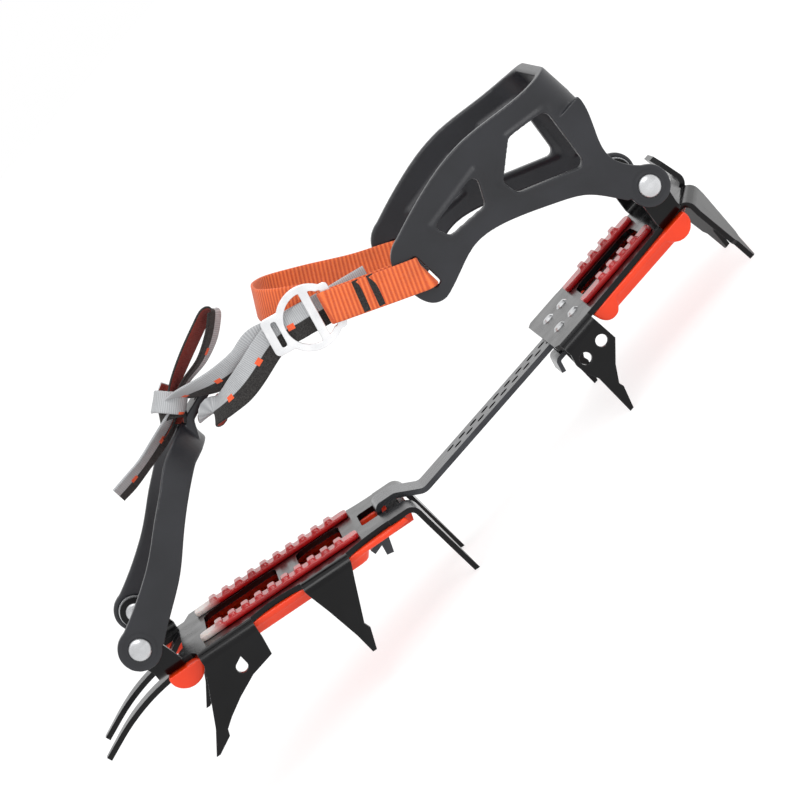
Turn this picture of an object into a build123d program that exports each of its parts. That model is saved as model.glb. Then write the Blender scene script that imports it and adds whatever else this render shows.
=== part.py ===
from build123d import *
from math import cos, radians, sin, tan
import os

# One twelve-tooth strap crampon. +X points to the toe, +Y to the outer side of a left foot, +Z up.
# The rear section and the link bar are level, and the front section pitches up by the toe spring.
# Lengths are millimetres. x is measured in each section from the tips of the transversal teeth.

# ---------------------------------------------------------------- driving dimensions
sheet = 2.5                  # steel sheet
plate_top = 42.0             # top of both plates above their tooth tips
half_width = 50.0            # outer face of the side teeth
toe_spring = 15.0            # pitch of the front section, degrees
transversal_x = 9.7          # transversal tips, ahead of the middle of the whole crampon
bend = 3.0                   # inner radius of every fold
tip_flat = 2.0               # width of a ground tooth tip

tooth1_x = (94.0, 122.0)     # root of the first side tooth, front section
tooth2_x = (44.0, 68.0)      # root of the second side tooth, front section
rear_tooth_x = (-116.0, -97.5)
waist_depth = 4.5            # how far the plates draw in between their teeth
transversal_y = 28.0         # centre of a transversal tooth
transversal_root = 20.0
transversal_lean = 11.5      # degrees
front_point_y = 20.0
front_point_width = 12.0
front_point_reach = 182.0
heel_tooth_x = -186.5        # outer face of a heel tooth, at its middle
heel_tooth_y = 29.0
heel_tooth_root = 24.0
heel_tooth_splay = 20.0      # heel teeth follow the round of the heel, degrees
heel_stop_width = 22.0
heel_stop_height = 17.0      # above the plate
heel_stop_lean = 8.0         # degrees

post_face_y = 41.0           # outer face of the four posts
front_rivet = (141.0, 57.8)  # x and z in the front section
rear_rivet = (-174.9, 58.6)

bar_width = 22.0
bar_thickness = 2.5
bar_gap = 0.4                # running gap around the link bar
bar_rear_x = -150.0
bar_slot_pitch = 7.7
bar_slot = (4.4, 3.4)        # length and width of one slot of the bar
bar_row_y = 3.6
slide_travel = 2 * bar_slot_pitch  # range of the length setting from where it is drawn

guide_sheet = 1.6
guide_length = 17.0
guide_x = -108.5             # middle of the guide channel
guide_flange = 7.0
guide_rivet_radius = 1.6
latch_sheet = 2.0
latch_pin_x = -105.0
latch_pin_radius = 1.5
pin_fit = 0.05               # radial running fit of every pin

rivet_head_radius = 5.2
rivet_head_height = 2.2
rivet_shank_radius = 3.0
washer_thickness = 0.9
washer_radius = 7.5
cradle_thickness = 5.0
toe_boss_radius = 9.8
heel_boss_radius = 9.4
gap = 0.3                    # between pieces of different bodies

webbing_width = 15.0
webbing_thickness = 1.6
webbing_gap = 0.4            # between webbing and what it passes through
buckle_thickness = 2.2
buckle_radius = 14.7
buckle_rim = 3.2
buckle_bar = 4.0

tpu_gap = 0.2                # TPU plates clip round the steel
tpu_skin = 2.4               # TPU under the steel
keel_depth = 6.5             # deepest TPU below the steel
pad_height = 4.0             # ribs on top of the steel, under the sole
pad_width = 11.0

os.makedirs("parts", exist_ok=True)

# ---------------------------------------------------------------- frames of the two sections
tilt = radians(toe_spring)
rear = Plane(origin=(transversal_x, 0, 0))
tip_drop = sheet / 2 * sin(tilt) / cos(radians(transversal_lean))
front = Plane(
    origin=(transversal_x, 0, tip_drop), x_dir=(cos(tilt), 0, sin(tilt)), z_dir=(-sin(tilt), 0, cos(tilt))
)
plate_bottom = plate_top - sheet
plate_middle = plate_top - sheet / 2
fold = bend + sheet          # from a folded tab's outer face to the flat plate
beyond = 250.0               # long enough to cut right through anything


def at(section, x, y, z):
    """A point of a section's frame, in the crampon's frame."""
    return section.from_local_coords(Vector(x, y, z))


def side_plane(section, y):
    """Upright plane along a section: x ahead, y up, positive extrusion towards -Y."""
    return Plane(origin=at(section, 0, y, 0), x_dir=section.x_dir, z_dir=-section.y_dir)


def across(section, x):
    """Plane square to a section at x: x towards +Y, y up, positive extrusion ahead."""
    return Plane(origin=at(section, x, 0, 0), x_dir=section.y_dir, z_dir=section.x_dir)


def tab_plane(section, x, y, outward):
    """Outer face of a folded tab, x along the fold and y up. outward is in degrees from +x."""
    turn = radians(outward)
    out = section.x_dir * cos(turn) + section.y_dir * sin(turn)
    return Plane(origin=at(section, x, y, 0), x_dir=out.cross(section.z_dir), z_dir=-out)


def both_sides(shape):
    return Compound(children=[shape, mirror(shape, about=Plane.XZ)])


def height(z):
    """A height of the tooth outlines, which are drawn for plates 42 mm above the tips."""
    return z * plate_top / 42.0


def folded_tab(face, outline, reach, lean=0.0, up=False):
    """A tab folded out of a plate. The outline is drawn on its outer face, x along the fold."""
    end_z = plate_middle + 45.0 if up else -1.0
    shift = tan(radians(lean)) * abs(end_z - plate_middle)
    with BuildPart() as tab:
        with BuildSketch(Plane(origin=face.origin, x_dir=-face.z_dir, z_dir=face.x_dir)):
            with BuildLine() as section:
                FilletPolyline(
                    (-reach, plate_middle),
                    (-sheet / 2, plate_middle),
                    (-sheet / 2 + shift, end_z),
                    radius=bend + sheet / 2,
                )
            trace(section.line, line_width=sheet)
        extrude(amount=beyond, both=True)
        with BuildSketch(face):
            with BuildLine():
                Polyline(*outline, close=True)
            make_face()
        extrude(amount=beyond, both=True, mode=Mode.INTERSECT)
    return tab.part


def post_tab(section, x_base, rivet):
    """An upright post with a round eye at the rivet; x_base is its foot, along the section."""
    eye = washer_radius - 0.5
    outline = [
        (x_base[0], plate_bottom - 1),
        (x_base[0], plate_top + 2),
        (rivet[0] - eye, rivet[1]),
        (rivet[0], rivet[1] + eye),
        (rivet[0] + eye, rivet[1]),
        (x_base[1], plate_top + 2),
        (x_base[1], plate_bottom - 1),
    ]
    face = Plane(origin=at(section, 0, post_face_y, 0), x_dir=section.x_dir, z_dir=-section.y_dir)
    with BuildPart() as post:
        with BuildSketch(Plane(origin=face.origin, x_dir=-face.z_dir, z_dir=face.x_dir)):
            with BuildLine() as bent:
                FilletPolyline(
                    (-16, plate_middle),
                    (-sheet / 2, plate_middle),
                    (-sheet / 2, plate_middle + 45),
                    radius=bend + sheet / 2,
                )
            trace(bent.line, line_width=sheet)
        extrude(amount=beyond, both=True)
        with BuildSketch(face):
            with BuildLine():
                Polyline(*outline, close=True)
            make_face()
            with Locations(rivet):
                Circle(eye)
                Circle(rivet_shank_radius + pin_fit, mode=Mode.SUBTRACT)
        extrude(amount=beyond, both=True, mode=Mode.INTERSECT)
    return post.part


# ---------------------------------------------------------------- steel plates
edge_y = half_width - fold       # flat plate edge at the side teeth
post_edge_y = post_face_y - fold
waist_y = edge_y - waist_depth
front_nose_x = 128.0
front_post_x = (129.0, 142.5)
front_tail_x = 12.5              # flat rear edge of the front plate
hook_slot_x = (18.5, 32.0)       # slot that the bar's hook goes down through
hook_slot_y = bar_width / 2 + 3.0
front_shoulder_y = transversal_y + transversal_root / 2
front_window_x = (76.0, 115.0)
middle_window_x = (42.0, 65.0)
window_half_width = 21.0

with BuildPart() as tooth1_tab:
    add(
        folded_tab(
            tab_plane(front, 0, half_width, 90),
            [
                (tooth1_x[0], plate_top + 1),
                (tooth1_x[0], height(33)),
                (tooth1_x[0] + 0.8, height(24.4)),
                (tooth1_x[0] + 12.5, height(21.4)),
                (tooth1_x[0] + 22.5, height(16.3)),
                (tooth1_x[0] + 30.5, height(11.2)),
                (tooth1_x[0] + 35.0, height(7.6)),
                (tooth1_x[0] + 36.0, height(4.6)),
                (tooth1_x[1] + 16.0, 0),
                (tooth1_x[1] + 16.0 + tip_flat, 0),
                (tooth1_x[1] + 11.5, height(10.4)),
                (tooth1_x[1] + 7.0, height(20.3)),
                (tooth1_x[1] + 3.5, height(28.3)),
                (tooth1_x[1], height(36.5)),
                (tooth1_x[1], plate_top + 1),
            ],
            reach=14,
        )
    )
    # a teardrop hole, pointed at the top
    hole_x, hole_z = tooth1_x[0] + 14.6, height(27.0)
    with BuildSketch(side_plane(front, half_width)):
        with BuildLine():
            Polyline(
                (hole_x - 2.6, hole_z + 0.8), (hole_x - 2.0, hole_z + 4.2), (hole_x + 1.4, hole_z + 2.3), close=True
            )
        make_face()
        with Locations((hole_x, hole_z)):
            Circle(2.7)
    extrude(amount=fold, mode=Mode.SUBTRACT)

tooth2_tab = folded_tab(
    tab_plane(front, 0, half_width, 90),
    [
        (tooth2_x[0], plate_top + 1),
        (tooth2_x[0], height(38.5)),
        (tooth2_x[0] + 3.5, height(29.8)),
        (tooth2_x[0] + 10.2, height(12.6)),
        (tooth2_x[0] + 9.0, height(9.6)),
        (tooth2_x[0] + 12.0, 0),
        (tooth2_x[0] + 12.0 + tip_flat, 0),
        (tooth2_x[1] - 8.3, height(9.6)),
        (tooth2_x[1] - 4.0, height(25.5)),
        (tooth2_x[1] - 1.0, height(35.0)),
        (tooth2_x[1], height(38.5)),
        (tooth2_x[1], plate_top + 1),
    ],
    reach=14,
)

lean_shift = tan(radians(transversal_lean)) * plate_middle
transversal_tab = folded_tab(
    tab_plane(front, lean_shift - sheet / 2, transversal_y, 180),
    [
        (-transversal_root / 2, plate_top + 1),
        (-transversal_root / 2, height(31)),
        (-tip_flat * 2, height(9)),
        (-tip_flat / 2, 0),
        (tip_flat / 2, 0),
        (tip_flat * 2, height(9)),
        (transversal_root / 2, height(31)),
        (transversal_root / 2, plate_top + 1),
    ],
    reach=14,
    lean=transversal_lean,
)

point_path = [
    (front_nose_x - 12, plate_middle),
    (front_nose_x + 1, plate_middle),
    (front_nose_x + 9, plate_top - 6.5),
    (front_nose_x + 30, plate_top - 9.5),
    (front_point_reach, plate_top - 22.0),
]
with BuildPart() as front_point:
    with BuildSketch(side_plane(front, 0)):
        with BuildLine() as point_line:
            FilletPolyline(*point_path, radius=[12, 20, 90])
        trace(point_line.line, line_width=sheet)
    extrude(amount=beyond, both=True)
    with BuildSketch(front):
        with BuildLine():
            Polyline(
                (front_nose_x - 12, front_point_y - front_point_width / 2),
                (front_nose_x + 32, front_point_y - front_point_width / 2 + 1),
                (front_point_reach + 2, front_point_y - tip_flat),
                (front_point_reach + 2, front_point_y + tip_flat),
                (front_nose_x + 32, front_point_y + front_point_width / 2 - 1),
                (front_nose_x - 12, front_point_y + front_point_width / 2),
                close=True,
            )
        make_face()
    extrude(amount=beyond, both=True, mode=Mode.INTERSECT)

front_post = post_tab(front, front_post_x, front_rivet)

with BuildPart() as front_plate:
    with BuildSketch(front.offset(plate_bottom)):
        with BuildLine():
            Polyline(
                (front_nose_x, 0),
                (front_nose_x, 28),
                (front_post_x[1], 31),
                (front_post_x[1], post_edge_y),
                (front_post_x[0] - 4, post_edge_y),
                (tooth1_x[1], edge_y),
                (tooth1_x[0], edge_y),
            )
            ThreePointArc(
                (tooth1_x[0], edge_y),
                ((tooth1_x[0] + tooth2_x[1]) / 2, waist_y),
                (tooth2_x[1], edge_y),
            )
            Line((tooth2_x[1], edge_y), (tooth2_x[0], edge_y))
            ThreePointArc(
                (tooth2_x[0], edge_y),
                ((tooth2_x[0] + front_tail_x) / 2, (edge_y + front_shoulder_y) / 2 - 3.5),
                (front_tail_x, front_shoulder_y),
            )
            Polyline((front_tail_x, front_shoulder_y), (front_tail_x, 0), (front_nose_x, 0))
        make_face()
        mirror(about=Plane.XZ)
        for window in (front_window_x, middle_window_x):
            with Locations(((window[0] + window[1]) / 2, 0)):
                RectangleRounded(window[1] - window[0], 2 * window_half_width, 6, mode=Mode.SUBTRACT)
        with Locations(((hook_slot_x[0] + hook_slot_x[1]) / 2, 0)):
            RectangleRounded(hook_slot_x[1] - hook_slot_x[0], 2 * hook_slot_y, 2, mode=Mode.SUBTRACT)
    extrude(amount=sheet)
    for tab in (tooth1_tab.part, tooth2_tab, transversal_tab, front_point.part, front_post):
        add(tab)
        add(mirror(tab, about=Plane.XZ))
front_plate.part.label = "front_plate"
export_step(front_plate.part, "parts/front_plate.step")

# rear plate
rear_nose_x = -95.5
rear_post_x = (-178.0, -165.0)
rear_window_x = (-159.0, -122.0)
rear_window_half_width = 17.0
splay = radians(heel_tooth_splay)

with BuildPart() as rear_tooth_tab:
    add(
        folded_tab(
            tab_plane(rear, 0, half_width, 90),
            [
                (rear_tooth_x[0], plate_top + 1),
                (rear_tooth_x[0], height(26.5)),
                (rear_tooth_x[0] + 8.5, height(18.7)),
                (rear_tooth_x[0] + 13.7, height(11.9)),
                (rear_tooth_x[0] + 13.3, height(9.6)),
                (rear_tooth_x[1] + 1.0 - tip_flat, 0),
                (rear_tooth_x[1] + 1.0, 0),
                (rear_tooth_x[1] - 0.5, height(20.0)),
                (rear_tooth_x[1] + 1.6, height(25.5)),
                (rear_tooth_x[1] + 1.8, height(31.0)),
                (rear_tooth_x[1], height(36.0)),
                (rear_tooth_x[1], plate_top + 1),
            ],
            reach=14,
        )
    )
    with BuildSketch(side_plane(rear, half_width)):
        with Locations(
            (rear_tooth_x[0] + 4.9, height(30.2)), (rear_tooth_x[1] - 3.2, height(30.2))
        ):
            Circle(2.8)
    extrude(amount=fold, mode=Mode.SUBTRACT)

heel_tooth_tab = folded_tab(
    tab_plane(rear, heel_tooth_x, heel_tooth_y, 180 - heel_tooth_splay),
    [
        (-heel_tooth_root / 2, plate_top + 1),
        (-heel_tooth_root / 2, height(33)),
        (-tip_flat * 2.6, height(12)),
        (-tip_flat * 1.6, height(10)),
        (-tip_flat / 2, 0),
        (tip_flat / 2, 0),
        (tip_flat * 1.6, height(10)),
        (tip_flat * 2.6, height(12)),
        (heel_tooth_root / 2, height(33)),
        (heel_tooth_root / 2, plate_top + 1),
    ],
    reach=16,
    lean=-3.0,
)

# The flat plate ends behind a heel tooth along a line square to the way the tooth faces.
half_root = heel_tooth_root / 2
root_x = heel_tooth_x + fold * cos(splay)
root_y = heel_tooth_y - fold * sin(splay)
heel_corner = (root_x + half_root * sin(splay), root_y + half_root * cos(splay))
heel_middle = (root_x - half_root * sin(splay), root_y - half_root * cos(splay))
heel_stop_tab = folded_tab(
    tab_plane(rear, heel_middle[0] - fold, 0, 180),
    [
        (-heel_stop_width / 2, plate_bottom - 1),
        (-heel_stop_width / 2, plate_top + heel_stop_height - 4),
        (-heel_stop_width / 2 + 4, plate_top + heel_stop_height),
        (heel_stop_width / 2 - 4, plate_top + heel_stop_height),
        (heel_stop_width / 2, plate_top + heel_stop_height - 4),
        (heel_stop_width / 2, plate_bottom - 1),
    ],
    reach=14,
    lean=-heel_stop_lean,
    up=True,
)
rear_post = post_tab(rear, rear_post_x, rear_rivet)
guide_hole_y = bar_width / 2 + bar_gap + guide_sheet + guide_flange / 2

with BuildPart() as rear_plate:
    with BuildSketch(rear.offset(plate_bottom)):
        with BuildLine():
            Polyline(
                (rear_nose_x, 0),
                (rear_nose_x, edge_y - 4),
                (rear_tooth_x[1], edge_y),
                (rear_tooth_x[0], edge_y),
            )
            ThreePointArc(
                (rear_tooth_x[0], edge_y),
                ((rear_tooth_x[0] + rear_post_x[1]) / 2, edge_y - 2.5),
                (rear_post_x[1], post_edge_y + 3),
            )
            Polyline(
                (rear_post_x[1], post_edge_y + 3),
                (rear_post_x[1], post_edge_y),
                (rear_post_x[0], post_edge_y),
                heel_corner,
                heel_middle,
                (heel_middle[0], 0),
                (rear_nose_x, 0),
            )
        make_face()
        mirror(about=Plane.XZ)
        with Locations(((rear_window_x[0] + rear_window_x[1]) / 2, 0)):
            RectangleRounded(
                rear_window_x[1] - rear_window_x[0], 2 * rear_window_half_width, 6, mode=Mode.SUBTRACT
            )
        with Locations((guide_x, 0)):
            with GridLocations(guide_length - 8, 2 * guide_hole_y, 2, 2):
                Circle(guide_rivet_radius + pin_fit, mode=Mode.SUBTRACT)
    extrude(amount=sheet)
    for tab in (rear_tooth_tab.part, heel_tooth_tab, rear_post):
        add(tab)
        add(mirror(tab, about=Plane.XZ))
    add(heel_stop_tab)
rear_plate.part.label = "rear_plate"
export_step(rear_plate.part, "parts/rear_plate.step")

# ---------------------------------------------------------------- link bar, guide and latch
bar_top = plate_bottom - bar_gap
bar_middle = bar_top - bar_thickness / 2
bar_bottom = bar_top - bar_thickness
first_slot_x = bar_rear_x + 7.0
slot_count = int((-20.0 - first_slot_x) / bar_slot_pitch)


def hook_at(x, z):
    """A point of the hook, given in the front section's frame, for drawing in the rear one's."""
    place = at(front, x, 0, z)
    return (place.X - transversal_x, place.Z)


with BuildPart() as link_bar:
    with BuildSketch(side_plane(rear, 0)):
        with BuildLine() as bar_line:
            FilletPolyline(
                (bar_rear_x, bar_middle),
                (-10.0, bar_middle),
                hook_at(front_tail_x, plate_top + 2.6),
                hook_at(hook_slot_x[0] + 3.0, plate_top + 2.6),
                hook_at(hook_slot_x[0] + 6.3, plate_top - 9.8),
                hook_at(hook_slot_x[0] + 16.0, plate_top - 13.4),
                radius=[6, 4, 2.4, 2.4],
            )
        trace(bar_line.line, line_width=bar_thickness)
    extrude(amount=bar_width / 2, both=True)
    with BuildSketch(rear.offset(bar_top)):
        for row, start in ((bar_row_y, 0.0), (-bar_row_y, bar_slot_pitch / 2)):
            for i in range(slot_count):
                with Locations((first_slot_x + start + i * bar_slot_pitch, row)):
                    SlotOverall(bar_slot[0], bar_slot[1])
    extrude(amount=-bar_thickness, mode=Mode.SUBTRACT)
    # an ear at each edge of the hook turns down
    with BuildSketch(side_plane(rear, bar_width / 2)):
        with BuildLine():
            Polyline(
                hook_at(hook_slot_x[0] + 6.0, plate_top - 10.2),
                hook_at(hook_slot_x[0] + 8.1, plate_top - 18.4),
                hook_at(hook_slot_x[0] + 11.4, plate_top - 17.8),
                hook_at(hook_slot_x[0] + 10.8, plate_top - 10.8),
                close=True,
            )
        make_face()
    ear = extrude(amount=2.5)
    mirror(ear, about=Plane.XZ)
link_bar.part.label = "link_bar"
export_step(link_bar.part, "parts/link_bar.step")

channel_half = bar_width / 2 + bar_gap
channel_bottom = bar_bottom - bar_gap
latch_pin_z = channel_bottom - guide_sheet - 3.4
latch_half_width = channel_half - 0.9
with BuildPart() as bar_guide:
    with BuildSketch(across(rear, guide_x - guide_length / 2)):
        with BuildLine() as channel_line:
            FilletPolyline(
                (-guide_hole_y - guide_flange / 2, plate_bottom - guide_sheet / 2),
                (-channel_half - guide_sheet / 2, plate_bottom - guide_sheet / 2),
                (-channel_half - guide_sheet / 2, channel_bottom - guide_sheet / 2),
                (channel_half + guide_sheet / 2, channel_bottom - guide_sheet / 2),
                (channel_half + guide_sheet / 2, plate_bottom - guide_sheet / 2),
                (guide_hole_y + guide_flange / 2, plate_bottom - guide_sheet / 2),
                radius=guide_sheet / 2,
            )
        trace(channel_line.line, line_width=guide_sheet)
    extrude(amount=guide_length)
    with BuildSketch(rear.offset(plate_bottom)):
        with Locations((guide_x, 0)):
            with GridLocations(guide_length - 8, 2 * guide_hole_y, 2, 2):
                Circle(guide_rivet_radius + pin_fit)
    extrude(amount=-guide_sheet, mode=Mode.SUBTRACT)
    # ears that carry the latch pin
    with BuildSketch(side_plane(rear, channel_half + guide_sheet)):
        with BuildLine():
            Polyline(
                (latch_pin_x - 5, channel_bottom + 0.5),
                (latch_pin_x - 3.4, latch_pin_z),
                (latch_pin_x + 3.4, latch_pin_z),
                (latch_pin_x + 5, channel_bottom + 0.5),
                close=True,
            )
        make_face()
        with Locations((latch_pin_x, latch_pin_z)):
            Circle(3.4)
            Circle(latch_pin_radius + pin_fit, mode=Mode.SUBTRACT)
    lug = extrude(amount=guide_sheet)
    mirror(lug, about=Plane.XZ)
bar_guide.part.label = "bar_guide"
export_step(bar_guide.part, "parts/bar_guide.step")

with BuildPart() as guide_rivets:
    with Locations((transversal_x + guide_x, 0)):
        with GridLocations(guide_length - 8, 2 * guide_hole_y, 2, 2):
            with Locations((0, 0, plate_bottom - guide_sheet)):
                Cylinder(
                    guide_rivet_radius, sheet + guide_sheet, align=(Align.CENTER, Align.CENTER, Align.MIN)
                )
            with Locations((0, 0, plate_top)):
                Cone(3.2, 2.2, 1.0, align=(Align.CENTER, Align.CENTER, Align.MIN))
            with Locations((0, 0, plate_bottom - guide_sheet - 1.0)):
                Cone(2.2, 3.2, 1.0, align=(Align.CENTER, Align.CENTER, Align.MIN))
guide_rivets.part.label = "guide_rivets"
export_step(guide_rivets.part, "parts/guide_rivets.step")

# The latch is drawn just let go: its tooth stands under the slot that it drops into.
latch_tooth_x = first_slot_x + 6 * bar_slot_pitch + 0.7
with BuildPart() as length_latch:
    with BuildSketch(side_plane(rear, 0)):
        with BuildLine() as lever_line:
            FilletPolyline(
                (latch_pin_x - 8, latch_pin_z - 1.2),
                (latch_pin_x, latch_pin_z),
                (latch_tooth_x + 3.5, latch_pin_z),
                (latch_tooth_x + 5.5, latch_pin_z - 5.5),
                radius=2.0,
            )
        trace(lever_line.line, line_width=latch_sheet)
        with Locations((latch_pin_x, latch_pin_z)):
            Circle(2.7)
    extrude(amount=latch_half_width, both=True)
    with BuildSketch(side_plane(rear, bar_row_y + 1.0)):
        with BuildLine():
            Polyline(
                (latch_tooth_x - 1.0, latch_pin_z),
                (latch_tooth_x - 1.0, bar_bottom - gap),
                (latch_tooth_x + 0.8, bar_bottom - gap),
                (latch_tooth_x + 0.8, latch_pin_z),
                close=True,
            )
        make_face()
    extrude(amount=2.0)
    with Locations((transversal_x + latch_pin_x, 0, latch_pin_z)):
        Cylinder(
            latch_pin_radius + pin_fit, 4 * latch_half_width, rotation=(90, 0, 0), mode=Mode.SUBTRACT
        )
        # room for the spring's coil between two barrels
        Box(5.6, 9.6, 5.6, mode=Mode.SUBTRACT)
length_latch.part.label = "length_latch"
export_step(length_latch.part, "parts/length_latch.step")

latch_pin_half = channel_half + guide_sheet + 0.4
with BuildPart() as latch_pin:
    with Locations((transversal_x + latch_pin_x, 0, latch_pin_z)):
        Cylinder(latch_pin_radius, 2 * latch_pin_half, rotation=(90, 0, 0))
        for end in (-1, 1):
            with Locations((0, end * (latch_pin_half + 0.4), 0)):
                Cylinder(latch_pin_radius + 0.7, 0.8, rotation=(90, 0, 0))
latch_pin.part.label = "latch_pin"
export_step(latch_pin.part, "parts/latch_pin.step")

# Four round turns and two legs stand for the torsion spring's coil on the pin.
spring_wire = 0.8
with BuildPart() as latch_spring:
    with Locations((transversal_x + latch_pin_x, 0, latch_pin_z)):
        Cylinder(latch_pin_radius + 0.15 + spring_wire, 7.6, rotation=(90, 0, 0))
        Cylinder(latch_pin_radius + 0.15, 9, rotation=(90, 0, 0), mode=Mode.SUBTRACT)
    with Locations((transversal_x + latch_pin_x - 2.0, 3.4, latch_pin_z + 2.4)):
        Box(spring_wire, spring_wire, 1.9, mode=Mode.ADD)
latch_spring.part.label = "latch_spring"
export_step(latch_spring.part, "parts/latch_spring.step")

# ---------------------------------------------------------------- TPU anti-balling plates and pads
tpu_top = plate_bottom - tpu_gap
skin_bottom = tpu_top - tpu_skin
tpu_y = half_width - fold - 0.6          # clear of the side teeth's inner bends
with BuildPart() as front_antiball:
    with BuildSketch(front.offset(skin_bottom)):
        with BuildLine():
            Polyline(
                (front_tail_x - 2.8, 0),
                (front_tail_x - 2.8, 17),
                (front_tail_x + 1.0, 17),
                (front_tail_x + 1.0, 38.5),
                (22, tpu_y - 1.0),
                (40, tpu_y),
                (138, tpu_y),
                (138, 30),
                (front_nose_x - 2, 27),
                (front_nose_x - 2, 0),
                (front_tail_x - 2.8, 0),
            )
        make_face()
        mirror(about=Plane.XZ)
    extrude(amount=tpu_skin)
    # domed keel between the side teeth
    with BuildSketch(front.offset(skin_bottom)):
        with Locations((78, 0)):
            RectangleRounded(88, 2 * tpu_y - 1, 8)
    extrude(amount=-(keel_depth - tpu_skin), taper=35)
    with BuildSketch(front.offset(tpu_top)):
        with Locations((78, 0)):
            RectangleRounded(78, 64, 6)
    extrude(amount=-(keel_depth - tpu_skin), taper=20, mode=Mode.SUBTRACT)
    # deep rounded shoulders under the posts
    for side in (-1, 1):
        with BuildSketch(side_plane(front, side * (tpu_y + 31) / 2)):
            with Locations((130.2, skin_bottom + 1)):
                Ellipse(8.4, keel_depth + 3.4 - tpu_skin)
        extrude(amount=(tpu_y - 31) / 2, both=True)
        with BuildSketch(front.offset(tpu_top)):
            with Locations((130.2, side * (tpu_y + 31) / 2)):
                Rectangle(20, tpu_y - 28)
        extrude(amount=10, mode=Mode.SUBTRACT)
    with BuildSketch(front.offset(skin_bottom)):
        with Locations((22.6, 0)):
            Rectangle(25.4, 33.8)
    extrude(amount=-(keel_depth - 0.9), taper=14)
    with BuildSketch(front.offset(plate_bottom)):
        with Locations(((hook_slot_x[0] + hook_slot_x[1]) / 2 - 1.6, 0)):
            Rectangle(hook_slot_x[1] - hook_slot_x[0] + 5.4, 2 * hook_slot_y - 1)
    extrude(amount=-14, mode=Mode.SUBTRACT)
front_antiball.part.label = "front_antiball"
export_step(front_antiball.part, "parts/front_antiball.step")

rear_tail_x = heel_middle[0] + 0.8
with BuildPart() as rear_antiball:
    with BuildSketch(rear.offset(skin_bottom)):
        with BuildLine():
            Polyline(
                (rear_tooth_x[0] - 1.3, 0),
                (rear_tooth_x[0] - 1.3, 40),
                (rear_tooth_x[0] - 4, tpu_y),
                (rear_post_x[1] - 1, tpu_y),
                (heel_corner[0] + 0.8, heel_corner[1]),
                (rear_tail_x, heel_middle[1] + 0.6),
                (rear_tail_x, 0),
                (rear_tooth_x[0] - 1.3, 0),
            )
        make_face()
        mirror(about=Plane.XZ)
    extrude(amount=tpu_skin)
    with BuildSketch(rear.offset(skin_bottom)):
        with Locations((-148, 0)):
            RectangleRounded(58, 2 * tpu_y - 1, 8)
    extrude(amount=-(keel_depth - tpu_skin), taper=30)
    for side in (-1, 1):
        with BuildSketch(side_plane(rear, side * (tpu_y + 31) / 2)):
            with Locations((-123.2, skin_bottom + 1)):
                Ellipse(5.8, keel_depth + 2.6 - tpu_skin)
            with Locations((-169.6, skin_bottom + 1)):
                Ellipse(7.2, keel_depth + 2.8 - tpu_skin)
        extrude(amount=(tpu_y - 31) / 2, both=True)
        with BuildSketch(rear.offset(tpu_top)):
            with Locations((-148, side * (tpu_y + 31) / 2)):
                Rectangle(70, tpu_y - 28)
        extrude(amount=10, mode=Mode.SUBTRACT)
    with BuildSketch(rear.offset(tpu_top)):
        with Locations((-148, 0)):
            RectangleRounded(48, 64, 6)
    extrude(amount=-(keel_depth - tpu_skin), taper=20, mode=Mode.SUBTRACT)
    # tunnel that the bar slides into
    with BuildSketch(across(rear, rear_tooth_x[0])):
        with Locations((0, (channel_bottom + plate_bottom) / 2)):
            Rectangle(2 * channel_half, plate_bottom - channel_bottom)
    extrude(amount=bar_rear_x - slide_travel - 1.0 - rear_tooth_x[0], mode=Mode.SUBTRACT)
rear_antiball.part.label = "rear_antiball"
export_step(rear_antiball.part, "parts/rear_antiball.step")


def pad_rail(section, x_start, x_end, y_inner):
    """A ribbed rail on top of a plate, under the sole."""
    count = int((x_end - x_start - 12) / 7.0)
    with BuildPart() as rail:
        with BuildSketch(section.offset(plate_top)):
            with Locations(((x_start + x_end) / 2, y_inner + pad_width / 2)):
                RectangleRounded(x_end - x_start, pad_width, 3)
        extrude(amount=pad_height * 0.6)
        with BuildSketch(section.offset(plate_top + pad_height * 0.6)):
            for i in range(count):
                with Locations((x_start + 9.5 + i * 7.0, y_inner + pad_width / 2)):
                    RectangleRounded(4.2, pad_width - 1.6, 1)
        extrude(amount=pad_height * 0.4, taper=15)
    return rail.part


with BuildPart() as front_pads:
    add(both_sides(pad_rail(front, 35.0, 118.0, 22.5)))
front_pads.part.label = "front_pads"
export_step(front_pads.part, "parts/front_pads.step")

with BuildPart() as rear_pads:
    add(both_sides(pad_rail(rear, -163.0, -119.0, 20.5)))
rear_pads.part.label = "rear_pads"
export_step(rear_pads.part, "parts/rear_pads.step")

# ---------------------------------------------------------------- rivets and washers
washer_y = post_face_y
cradle_y = washer_y + washer_thickness + gap          # inner face of a cradle at its boss
head_y = cradle_y + cradle_thickness + gap


def boss_rivet(section, place):
    with BuildPart() as rivet:
        with BuildSketch(side_plane(section, head_y)):
            with Locations(place):
                Circle(rivet_shank_radius)
        extrude(amount=head_y - post_face_y + sheet)
        with BuildSketch(side_plane(section, post_face_y - sheet)):
            with Locations(place):
                Circle(rivet_head_radius - 0.6)
        extrude(amount=1.2, taper=20)
        with BuildSketch(side_plane(section, head_y)):
            with Locations(place):
                Circle(rivet_head_radius)
        extrude(amount=-rivet_head_height, taper=38)
    return rivet.part


def boss_washer(section, place):
    with BuildPart() as washer:
        with BuildSketch(side_plane(section, washer_y + washer_thickness)):
            with Locations(place):
                Circle(washer_radius)
                Circle(rivet_shank_radius + pin_fit, mode=Mode.SUBTRACT)
        extrude(amount=washer_thickness)
    return washer.part


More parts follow.
